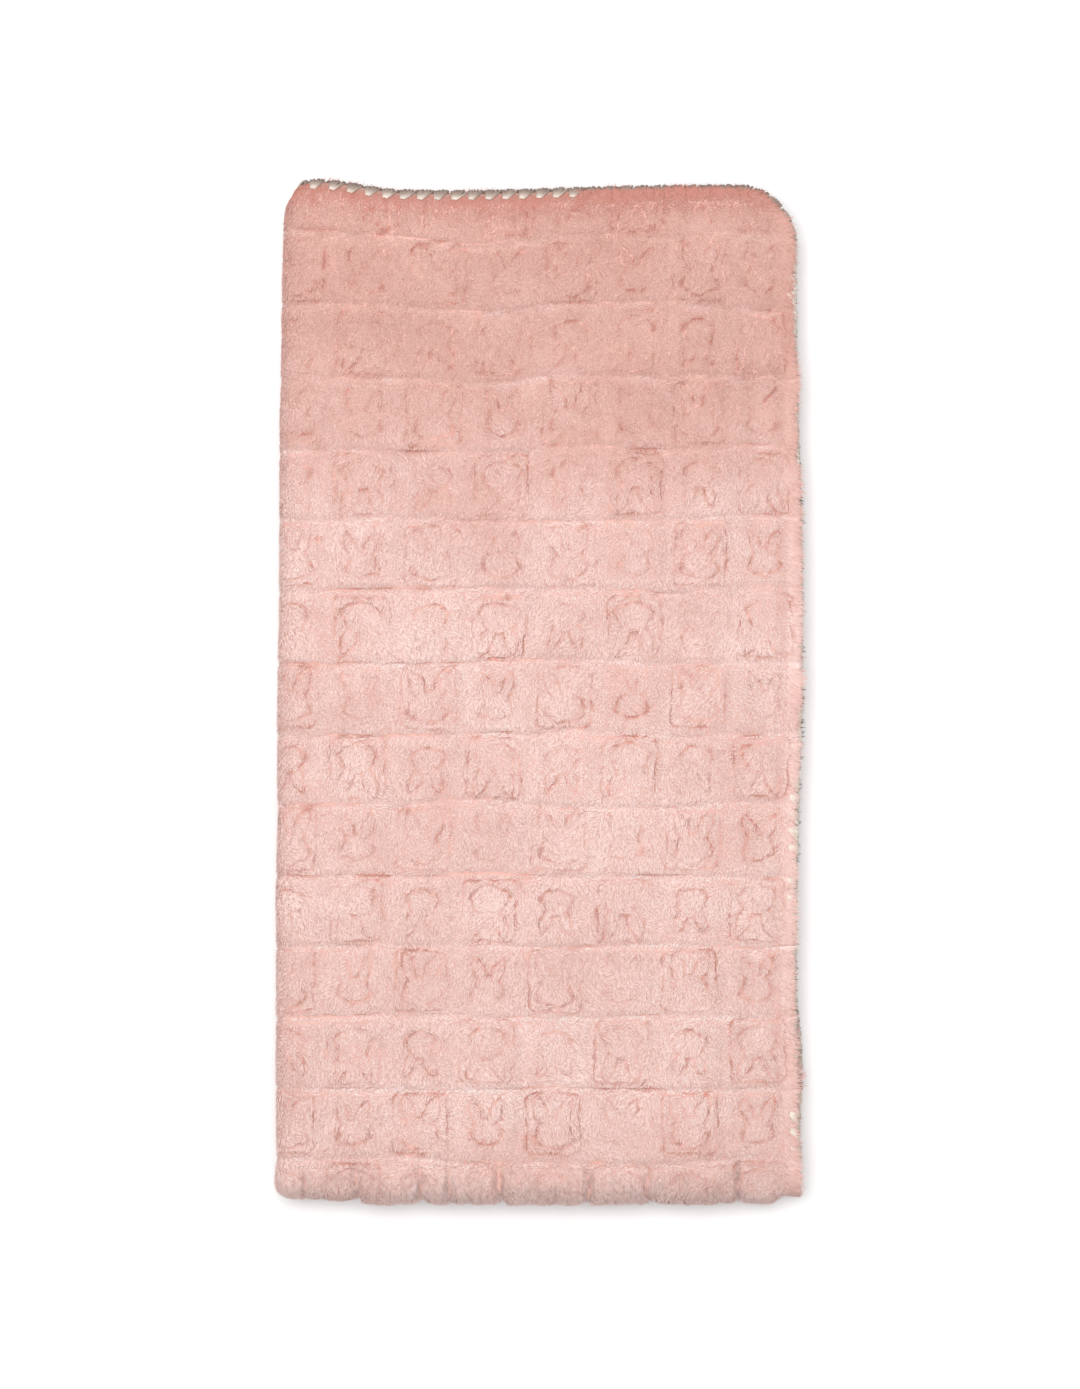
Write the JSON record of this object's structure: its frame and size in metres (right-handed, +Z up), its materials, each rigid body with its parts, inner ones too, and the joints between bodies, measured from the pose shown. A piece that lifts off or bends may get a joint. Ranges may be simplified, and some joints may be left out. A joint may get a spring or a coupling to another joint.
{
  "type": "comfort blanket",
  "caption": "Plush comfort blanket folded in quarters, with a sculpted chequer of bunny heads, a short-pile lining and a cream shell-stitched edge; the last fold opens.",
  "frame": {"origin": "middle of the underside of the folded stack", "axes": "+Z up through the stack, +Y along its length away from the fold that opens, +X across it away from the first fold"},
  "size_m": [0.362, 0.698, 0.048],
  "materials": {
    "plush": "sheared long pile, soft and matt",
    "lining": "short brushed pile, matt",
    "edging_yarn": "twisted cotton yarn, matt"
  },
  "bodies": {
    "lower_half": {"plush_lower_half": "plush", "lining_lower_half": "lining", "edging_lower_half": "edging_yarn", "plush_bottom_fold": "plush", "lining_bottom_fold": "lining", "edging_bottom_fold_outer": "edging_yarn", "edging_bottom_fold_inner": "edging_yarn"},
    "upper_half": {"plush_upper_half": "plush", "lining_upper_half": "lining", "edging_upper_half": "edging_yarn"}
  },
  "joints": [
    {"name": "bottom_fold", "type": "hinge", "parent": "lower_half", "child": "upper_half", "pos_m": [0, -0.32691, 0.024], "axis": [1, 0, 0], "range_deg": [0, 180], "deforming": ["plush_bottom_fold", "lining_bottom_fold", "edging_bottom_fold_outer", "edging_bottom_fold_inner"]}
  ]
}
